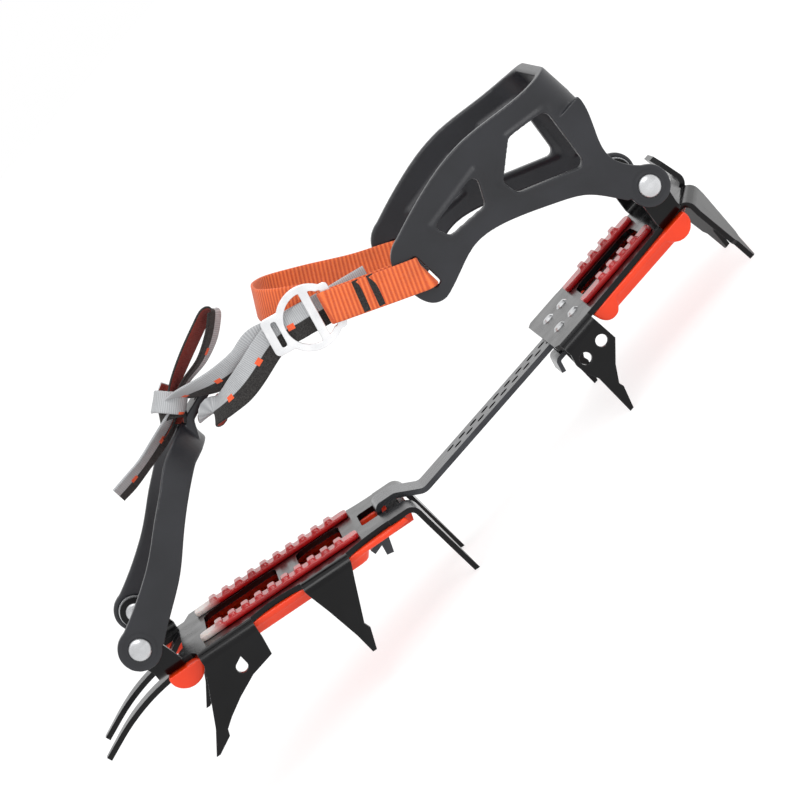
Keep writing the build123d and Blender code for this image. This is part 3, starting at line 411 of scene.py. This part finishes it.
def rounded_copy(node, voxel_mm, passes, body, mat, slot, sculpt=None):
    """The node's shape with moulded, rounded edges: remeshed finely, relaxed, then detailed."""
    made = link(node + "_moulded", nodes[node].data.copy(), mat, body, slot, node)
    grid = made.modifiers.new("grid", "REMESH")
    grid.mode = "VOXEL"
    grid.voxel_size = voxel_mm * MM
    relax = made.modifiers.new("relax", "SMOOTH")
    relax.factor, relax.iterations = 0.5, passes
    depsgraph = bpy.context.evaluated_depsgraph_get()
    mesh = bpy.data.meshes.new_from_object(made.evaluated_get(depsgraph))
    made.modifiers.clear()
    made.data = mesh
    mesh.materials.clear()
    mesh.materials.append(mat)
    if sculpt:
        points = np.empty(len(mesh.vertices) * 3)
        mesh.vertices.foreach_get("co", points)
        points = points.reshape(-1, 3)
        normals = np.empty(len(mesh.vertices) * 3)
        mesh.vertices.foreach_get("normal", normals)
        points += sculpt(points, normals.reshape(-1, 3))
        mesh.vertices.foreach_set("co", points.ravel())
    smooth_all(mesh)
    mesh.update()
    return made


def lathe(name, profile, at, axis, mat, body, slot, replaced=()):
    """Turns a profile of (radius, height) millimetres about an axis through a point."""
    sides = 48
    bm = bmesh.new()
    turn = Vector(axis).to_track_quat("Z", "Y").to_matrix()
    rings = []
    for radius, rise in profile:
        ring = []
        for i in range(sides if radius > 0 else 1):
            a = 2 * math.pi * i / sides
            local = Vector((radius * math.cos(a), radius * math.sin(a), rise)) * MM
            ring.append(bm.verts.new(Vector(at) + turn @ local))
        rings.append(ring)
    for low, high in zip(rings, rings[1:]):
        for i in range(sides):
            quad = [
                low[i % len(low)], low[(i + 1) % len(low)], high[(i + 1) % len(high)], high[i % len(high)],
            ]
            face = [v for n, v in enumerate(quad) if v not in quad[:n]]
            if len(face) > 2:
                bm.faces.new(face)
    bmesh.ops.recalc_face_normals(bm, faces=bm.faces)
    mesh = bpy.data.meshes.new(name)
    bm.to_mesh(mesh)
    bm.free()
    smooth_all(mesh)
    return link(name, mesh, mat, body, slot, *replaced)


def curve_through(values, count, closed=False):
    """Points spread evenly along a smooth curve through the given rows."""
    rows = np.array(values, float)
    n = len(rows)
    out = []
    spans = n if closed else n - 1
    for s in range(spans):
        p1, p2 = rows[s % n], rows[(s + 1) % n]
        p0 = rows[(s - 1) % n] if closed or s > 0 else 2 * p1 - p2
        p3 = rows[(s + 2) % n] if closed or s + 2 < n else 2 * p2 - p1
        for t in np.linspace(0, 1, 24, endpoint=False):
            out.append(
                0.5 * (2 * p1 + (p2 - p0) * t + (2 * p0 - 5 * p1 + 4 * p2 - p3) * t**2
                       + (3 * p1 - p0 - 3 * p2 + p3) * t**3)
            )
    if not closed:
        out.append(rows[-1])
    out = np.array(out)
    run = np.vstack([out, out[:1]]) if closed else out
    lengths = np.concatenate([[0], np.cumsum(np.linalg.norm(np.diff(run[:, :3], axis=0), axis=1))])
    marks = np.linspace(0, lengths[-1], count, endpoint=not closed)
    even = np.stack([np.interp(marks, lengths, run[:, i]) for i in range(rows.shape[1])], axis=1)
    return even, marks


def strap(name, stations, mat, body, slot, width=15.0, thick=1.5, closed=False, count=160,
          replaced=(), uv_shift=0.0, flip=False):
    """A flat strap with rounded selvedges along stations of (point in metres, direction across)."""
    rows = [[*p, *(Vector(w).normalized() * 0.01)] for p, w in stations]
    even, marks = curve_through(rows, count, closed)
    points, wides = even[:, :3], even[:, 3:]
    half, flat = width / 2 * MM, thick / 2 * MM
    section = []
    steps = 12
    for i in range(steps + 1):
        section.append((-half + flat + (2 * half - 2 * flat) * i / steps, flat, 1))
    section += [(half - flat * 0.3, flat * 0.72, 0), (half, 0, 0), (half - flat * 0.3, -flat * 0.72, 0)]
    for i in range(steps + 1):
        section.append((half - flat - (2 * half - 2 * flat) * i / steps, -flat, -1))
    section += [(-half + flat * 0.3, -flat * 0.72, 0), (-half, 0, 0), (-half + flat * 0.3, flat * 0.72, 0)]
    bm = bmesh.new()
    uv = bm.loops.layers.uv.new("weave")
    side = bm.verts.layers.float.new("face")
    rings = []
    total = len(points)
    for k in range(total):
        before = points[(k - 1) % total] if closed or k else points[k]
        after = points[(k + 1) % total] if closed or k + 1 < total else points[k]
        tangent = Vector(after - before).normalized()
        wide = Vector(wides[k])
        wide = (wide - tangent * wide.dot(tangent)).normalized()
        normal = tangent.cross(wide).normalized() * (-1 if flip else 1)
        ring = []
        for a, h, f in section:
            v = bm.verts.new(Vector(points[k]) + wide * a + normal * h)
            v[side] = f
            ring.append(v)
        rings.append(ring)
    m = len(section)
    across = [s[0] for s in section]
    pairs = list(zip(range(total), range(1, total))) + ([(total - 1, 0)] if closed else [])
    spacing = marks[1] - marks[0]
    for i, j in pairs:
        for s in range(m):
            t = (s + 1) % m
            face = bm.faces.new((rings[i][s], rings[i][t], rings[j][t], rings[j][s]))
            u0 = marks[i] + uv_shift
            for loop, (u, v) in zip(
                face.loops,
                ((u0, across[s]), (u0, across[t]), (u0 + spacing, across[t]), (u0 + spacing, across[s])),
            ):
                loop[uv].uv = (u, v)
    if not closed:
        for ring in (rings[0], rings[-1]):
            face = bm.faces.new(ring if ring is rings[0] else ring[::-1])
            for loop, s in zip(face.loops, section):
                loop[uv].uv = (0, s[0])
    bmesh.ops.recalc_face_normals(bm, faces=bm.faces)
    mesh = bpy.data.meshes.new(name)
    bm.to_mesh(mesh)
    bm.free()
    smooth_all(mesh)
    return link(name, mesh, mat, body, slot, *replaced)


# ---------------------------------------------------------------- cradles
def ring_groove(centre, y_side, inner, outer, depth):
    """A groove round a boss, cut into the outer face."""
    def shift(points, normals):
        r = np.hypot(points[:, 0] - centre[0], points[:, 2] - centre[2])
        middle, half = (inner + outer) / 2 * MM, (outer - inner) / 2 * MM
        mask = (np.abs(r - middle) < half) & (normals[:, 1] * y_side > 0.5)
        fade = np.cos((r - middle) / half * math.pi / 2)
        return np.where(mask, fade, 0)[:, None] * np.array([0, -y_side * depth * MM, 0])
    return shift


def rim_round(polygon, y_side, reach, height):
    """A raised rim round a window, on the outer face."""
    corners = np.array([[p[0] + TIPS.x, p[1]] for p in polygon]) * MM

    def shift(points, normals):
        flat = points[:, [0, 2]]
        best = np.full(len(points), 1.0)
        for a, b in zip(corners, np.roll(corners, -1, axis=0)):
            ab = b - a
            t = np.clip(((flat - a) @ ab) / (ab @ ab), 0, 1)
            best = np.minimum(best, np.linalg.norm(flat - (a + t[:, None] * ab), axis=1))
        mask = (best < reach * MM) & (normals[:, 1] * y_side > 0.4)
        fade = 0.5 + 0.5 * np.cos(best / (reach * MM) * math.pi)
        return np.where(mask, fade, 0)[:, None] * np.array([0, y_side * height * MM, 0])
    return shift


big_window = [(-169.4, 114.7), (-150.0, 118.8), (-134.0, 107.6), (-135.0, 100.0), (-163.4, 85.6)]
small_window = [(-129.6, 119.9), (-121.6, 106.8), (-102.0, 109.4), (-99.6, 117.6)]
heel_boss = rear(-174.9, 0, 58.6)
toe_boss = front(141.0, 0, 57.8)


def carve(*shifts):
    return lambda points, normals: sum(s(points, normals) for s in shifts)


rounded_copy(
    "heel_cradle", 0.62, 7, "heel_binding", slate_tpu, "slate_tpu",
    carve(*[ring_groove(heel_boss, s, 6.0, 7.6, 0.5) for s in (-1, 1)],
          *[rim_round(w, s, 3.8, 1.3) for s in (-1, 1) for w in (big_window, small_window)]),
)
rounded_copy(
    "toe_cradle", 0.62, 7, "toe_binding", slate_tpu, "slate_tpu",
    carve(*[ring_groove(toe_boss, s, 6.2, 7.8, 0.5) for s in (-1, 1)]),
)
rounded_copy("front_antiball", 0.6, 5, "front_section", orange_tpu, "orange_tpu")
rounded_copy("rear_antiball", 0.6, 5, "rear_section", orange_tpu, "orange_tpu")
rounded_copy("front_pads", 0.4, 9, "front_section", red_tpu, "red_tpu")
rounded_copy("rear_pads", 0.4, 9, "rear_section", red_tpu, "red_tpu")
rounded_copy("buckle", 0.26, 5, "ring", silver, "buckle_alloy")

# ---------------------------------------------------------------- rivets and the latch spring
HEAD_SEAT = 47.5           # where a rivet head sits on a cradle, from the middle


def boss_rivet(name, centre, side, body, node):
    """A domed head outside, a shank through cradle and post, and a clenched end inside."""
    head = [(0, 2.15), (1.6, 2.1), (3.2, 1.75), (4.4, 1.1), (5.05, 0.4), (5.2, 0.0), (3.0, 0.0)]
    shank = [(3.0, -8.9), (4.4, -8.9), (4.3, -9.5), (3.4, -10.05), (1.2, -10.15), (0, -10.15)]
    at = centre + Vector((0, side * HEAD_SEAT * MM, 0))
    lathe(name, head + shank, at, (0, side, 0), rivet_steel, body, "rivet_steel", replaced=(node,))


for side, word in ((1, "left"), (-1, "right")):
    boss_rivet("toe_rivet_" + word, toe_boss, side, "front_section", "toe_rivets")
    boss_rivet("heel_rivet_" + word, heel_boss, side, "rear_section", "heel_rivets")


def coil_spring():
    """Four turns round the latch pin with a leg at each end."""
    pin = rear(-105.0, 0, 31.2)
    turns, steps, radius, length = 4, 24, 2.05, 6.8
    count = turns * steps
    points = [pin + Vector((2.6, -3.6, -4.2)) * MM]
    for i in range(count + 1):
        a = 2 * math.pi * i / steps
        along = length * (i / count - 0.5)
        points.append(pin + Vector((radius * math.cos(a), along, radius * math.sin(a))) * MM)
    points.append(pin + Vector((-1.6, 3.5, 3.4)) * MM)
    curve = bpy.data.curves.new("latch_spring_coil", "CURVE")
    curve.dimensions = "3D"
    curve.bevel_depth = 0.38 * MM
    curve.bevel_resolution = 3
    line = curve.splines.new("POLY")
    line.points.add(len(points) - 1)
    for p, co in zip(line.points, points):
        p.co = (*co, 1)
    curve.materials.append(wire_steel)
    made = bpy.data.objects.new("latch_spring_coil", curve)
    bpy.context.collection.objects.link(made)
    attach(made, "rear_section")
    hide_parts("latch_spring")


coil_spring()
for node, width in (("front_plate", 0.3), ("rear_plate", 0.3), ("link_bar", 0.25), ("bar_guide", 0.2)):
    soften_edges(node, width)

# ---------------------------------------------------------------- straps
PITCH = math.radians(20)
U = Vector((math.cos(PITCH), 0, math.sin(PITCH)))
V = Vector((-math.sin(PITCH), 0, math.cos(PITCH)))
SLOT_UP = Vector((-0.6, 0, 16.0)).normalized()


BUCKLE_MIDDLE = (-35.5, 131.8)
CRADLE_SLOT = (-83.2, 107.4)
LOOP_END = -8.4            # how far the webbing loop reaches along the buckle


def on_buckle(u, y, v=0.0):
    """A point of the buckle's plane: u towards the toe, v up."""
    return rear(BUCKLE_MIDDLE[0], y, BUCKLE_MIDDLE[1]) + (U * u + V * v) * MM


def toward_bar(part, y):
    """A point part of the way from the cradle's slot to the buckle's outer bar."""
    end = on_buckle(LOOP_END, y)
    begin = rear(CRADLE_SLOT[0], y, CRADLE_SLOT[1])
    return Vector((begin.x + (end.x - begin.x) * part, y * MM, begin.z + (end.z - begin.z) * part))


def left_loop():
    half_way = SLOT_UP + V
    return strap(
        "left_webbing_loop",
        [
            (toward_bar(0.0, 44.6), SLOT_UP), (toward_bar(0.02, 47.9), SLOT_UP),
            (toward_bar(0.12, 48.6), SLOT_UP * 2 + V), (toward_bar(0.36, 48.4), half_way),
            (toward_bar(0.62, 46.9), SLOT_UP + V * 2), (toward_bar(0.86, 45.3), V),
            (on_buckle(-9.6, 44.9), V), (on_buckle(-8.1, 44.3), V), (on_buckle(-7.9, 42.5), V),
            (on_buckle(-8.1, 40.8), V), (on_buckle(-9.8, 40.1), V), (toward_bar(0.8, 40.3), V),
            (toward_bar(0.4, 40.8), half_way), (toward_bar(0.1, 40.9), SLOT_UP * 2 + V),
            (toward_bar(0.02, 41.5), SLOT_UP),
        ],
        orange_web, None, "orange_webbing", closed=True, count=260, replaced=("left_webbing",),
        flip=True,
    )


# The end of the loop turns with the ring's outer bar.
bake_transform(left_loop())


WIDE = Vector((0.589, 0, -0.808))      # across the band where it passes over the instep


def over(y, rise):
    """A point of the band over the instep, rise millimetres off its own plane."""
    return rear(-23.9 - WIDE.z * rise, y, 148.6 + WIDE.x * rise)


strap(
    "right_webbing_band",
    [
        (rear(-70.5, -48.4, 113.0), SLOT_UP * -1), (rear(-79.0, -48.5, 109.2), SLOT_UP * -1),
        (rear(-83.0, -47.9, 107.6), SLOT_UP * -1), (rear(-83.3, -44.6, 107.4), SLOT_UP * -1),
        (rear(-82.8, -41.5, 107.6), SLOT_UP * -1), (rear(-77.0, -40.9, 111.5), SLOT_UP * -2 + WIDE),
        (over(-40.7, -48), SLOT_UP * -1 + WIDE * 2), (over(-40.2, -26), WIDE), (over(-34.0, -8.5), WIDE),
        (over(-19.0, -1.4), WIDE), (over(0, 0.2), WIDE), (over(17.0, -1.2), WIDE), (over(30.0, -8.8), WIDE),
        (over(35.8, -18.0), WIDE),
    ],
    orange_web, "heel_binding", "orange_webbing", count=260, replaced=("right_webbing",),
)


def bar_tack(name, top, low, y):
    """A close bar of stitches sewn through the webbing."""
    a, b = rear(top[0], y, top[1]), rear(low[0], y, low[1])
    run = (b - a).normalized()
    cross = Vector((run.z, 0, -run.x))
    return strap(
        name,
        [
            (a.lerp(b, t) + Vector((0, 0.25 * MM * math.sin(t * math.pi), 0)), cross)
            for t in (0, 0.2, 0.5, 0.8, 1)
        ],
        thread, "heel_binding", "black_thread", width=3.0, thick=0.7, count=60, replaced=("bar_tacks",),
    )


bar_tack("bar_tack_fore", (-60.2, 128.4), (-54.2, 115.2), 47.25)
bar_tack("bar_tack_aft", (-66.2, 125.4), (-60.4, 112.2), 48.1)


def toe_strap(name, stations, shift=0.0, **more):
    return strap(
        name, stations, strap_web, "toe_binding", "grey_webbing", thick=1.2, replaced=("toe_strap",),
        uv_shift=shift, **more,
    )


DOWN = -V
toe_strap(
    "toe_strap_upper",
    [
        (on_buckle(-31, 37.2, 0.6), DOWN), (on_buckle(-20, 37.9, 0.4), DOWN), (on_buckle(-8, 38.3), DOWN),
        (on_buckle(6, 38.3), DOWN), (on_buckle(16, 38.4), DOWN),
        (on_buckle(25, 37.6, 0.4), DOWN), (rear(-3.0, 34.8, 139.8), Vector((0.1, -0.22, -1))),
        (rear(7.0, 31.0, 141.0), Vector((0.05, -0.45, -1))),
        (rear(16.0, 26.0, 143.6), Vector((0.1, -0.75, -0.8))),
        (rear(24.0, 19.0, 146.6), Vector((0.2, -0.9, -0.4))),
        (rear(31.0, 10.0, 148.2), Vector((0.3, -0.9, -0.1))),
    ],
    width=14.6, count=240, shift=0.004,
)
toe_strap(
    "toe_strap_lower",
    [
        (on_buckle(-2.6, 40.7, 0.4), DOWN), (on_buckle(1.0, 40.9, 0.3), DOWN),
        (on_buckle(6.0, 41.7), (DOWN + Vector((0.12, 0.3, 0)))), (on_buckle(12.0, 40.6), DOWN),
        (on_buckle(18.0, 40.3, -1.2), DOWN), (on_buckle(24.0, 39.9, -4.0), DOWN),
        (rear(-1.5, 38.2, 134.4), Vector((0.1, 0.05, -1))),
        (rear(7.0, 36.4, 133.4), Vector((-0.05, 0.35, -0.93))),
        (rear(16.0, 32.5, 133.4), Vector((-0.05, 0.78, -0.62))),
        (rear(23.5, 25.0, 133.8), Vector((-0.4, 0.9, -0.2))),
        (rear(25.0, 15.0, 134.2), Vector((-1, 0.25, -0.1))), (rear(24.2, 6.0, 135.4), Vector((-1, 0.1, 0))),
    ],
    width=14.0, count=240, shift=0.011,
)
toe_strap(
    "toe_strap_riser",
    [
        (rear(23.0, 7.0, 135.2), Vector((0.3, 1, 0))), (rear(24.0, 1.5, 136.6), Vector((0, 1, 0))),
        (rear(24.1, 0.5, 139.5), Vector((0, 1, 0))), (rear(24.2, 0.6, 143.5), Vector((0, 1, 0))),
        (rear(26.5, 2.5, 147.0), Vector((0, 1, 0.1))), (rear(31.0, 5.0, 149.4), Vector((0, 1, 0.2))),
    ],
    width=13.0, count=90,
)


knot = rear(33.0, 8.0, 148.6)


def wrap(name, offset, axis, radius, begin, turns, drift, width, shift, across_shift):
    """A band of the knot that goes round an axis through a point beside the knot's middle."""
    squash = 0.75
    centre = knot + Vector(offset) * MM
    axis = Vector(axis).normalized()
    side = axis.cross(Vector((0.3, 1, 0.2))).normalized()
    front_way = axis.cross(side)
    stations = []
    steps = max(5, int(turns * 9))
    for i in range(steps + 1):
        t = i / steps
        a = math.radians(begin) + 2 * math.pi * turns * t
        out = side * math.cos(a) * radius + front_way * math.sin(a) * radius * squash
        stations.append((centre + (out + axis * drift * (t - 0.5)) * MM,
                         axis + out.normalized() * 0.12 * math.sin(3 * a)))
    made = toe_strap(name, stations, width=width, count=int(60 + 90 * turns), shift=shift)
    for loop in made.data.uv_layers[0].data:
        loop.uv[1] += across_shift * MM


wrap(
    "toe_strap_knot_grey", (0.4, 1.4, 1.4), (0.86, 0.1, -0.5),
    radius=7.2, begin=20, turns=0.95, drift=4.5, width=10.0, shift=0.002, across_shift=-5,
)
wrap(
    "toe_strap_knot_black", (3.4, 0.6, -2.6), (0.6, 0.3, -0.75),
    radius=5.8, begin=200, turns=1.0, drift=3.0, width=10.5, shift=0.008, across_shift=6,
)
wrap(
    "toe_strap_knot_core", (0.5, 0, -0.6), (0.7, 0.6, 0.3),
    radius=3.6, begin=90, turns=1.1, drift=2.0, width=8.5, shift=0.006, across_shift=6,
)
toe_strap(
    "toe_strap_bight",
    [
        (rear(31.0, 8.5, 151.2), Vector((0.1, 0.9, 0.3))),
        (rear(24.0, 8.0, 154.2), Vector((0.1, 0.9, 0.45))),
        (rear(13.0, 7.6, 158.0), Vector((0.15, 0.85, 0.5))),
        (rear(1.0, 7.8, 161.6), Vector((0.2, 0.85, 0.5))),
        (rear(-6.4, 8.2, 163.4), Vector((0.2, 0.85, 0.5))),
        (rear(-9.2, 8.6, 161.8), Vector((0.2, 0.85, 0.5))),
        (rear(-6.4, 9.0, 159.0), Vector((0.2, 0.85, 0.5))),
        (rear(1.0, 9.4, 154.6), Vector((0.15, 0.85, 0.5))),
        (rear(11.0, 9.4, 151.2), Vector((0.1, 0.9, 0.4))),
        (rear(22.0, 9.0, 150.4), Vector((0.1, 0.9, 0.3))),
        (rear(30.0, 8.6, 148.8), Vector((0.1, 0.9, 0.2))),
    ],
    width=12.0, count=220, shift=0.003, flip=True,
)
toe_strap(
    "toe_strap_tail",
    [
        (rear(33.0, 8.5, 146.4), Vector((0, -0.9, -0.4))),
        (rear(40.0, 9.0, 143.6), Vector((0, -0.82, -0.56))),
        (rear(50.0, 10.2, 141.6), Vector((-0.05, -0.78, -0.62))),
        (rear(62.0, 12.0, 140.2), Vector((-0.05, -0.82, -0.56))),
        (rear(72.0, 13.2, 139.8), Vector((-0.03, -0.78, -0.62))),
        (rear(79.6, 14.0, 140.0), Vector((0, -0.8, -0.6))),
    ],
    width=13.0, count=160, shift=0.006,
)
toe_strap(
    "toe_strap_spare_end",
    [
        (rear(34.0, 7.0, 146.0), Vector((0.4, 0.9, -0.2))),
        (rear(38.5, 6.0, 143.5), Vector((0.5, 0.8, -0.3))),
        (rear(43.5, 6.0, 142.2), Vector((0.5, 0.8, -0.3))),
        (rear(49.0, 7.0, 141.4), Vector((0.4, 0.85, -0.25))),
    ],
    width=9.0, count=60, flip=True,
)

# ---------------------------------------------------------------- floor and room
def pale_floor():
    mat = start("lit_opal_acrylic")
    fine = noise_at(mat, place(mat), 30, 2)
    shader = put(
        mat, "ShaderNodeBsdfPrincipled",
        {
            "Base Color": blend(mat, fine, (0.3, 0.3, 0.3, 1), (0.27, 0.27, 0.27, 1)),
            "Roughness": 0.9,
            "Emission Color": (1, 1, 1, 1),
            "Emission Strength": 0.74,
        },
    )
    close(mat, shader.outputs[0])
    mesh = bpy.data.meshes.new("floor")
    mesh.from_pydata([(-9, -9, 0), (9, -9, 0), (9, 9, 0), (-9, 9, 0)], [], [(0, 1, 2, 3)])
    mesh.materials.append(mat)
    made = bpy.data.objects.new("floor", mesh)
    bpy.context.collection.objects.link(made)


pale_floor()
world = bpy.data.worlds.new("soft_room")
bpy.context.scene.world = world
world.use_nodes = True
world.node_tree.nodes["Background"].inputs["Color"].default_value = (1, 1, 1, 1)
world.node_tree.nodes["Background"].inputs["Strength"].default_value = 1.0
bpy.context.scene.view_settings.view_transform = "Standard"
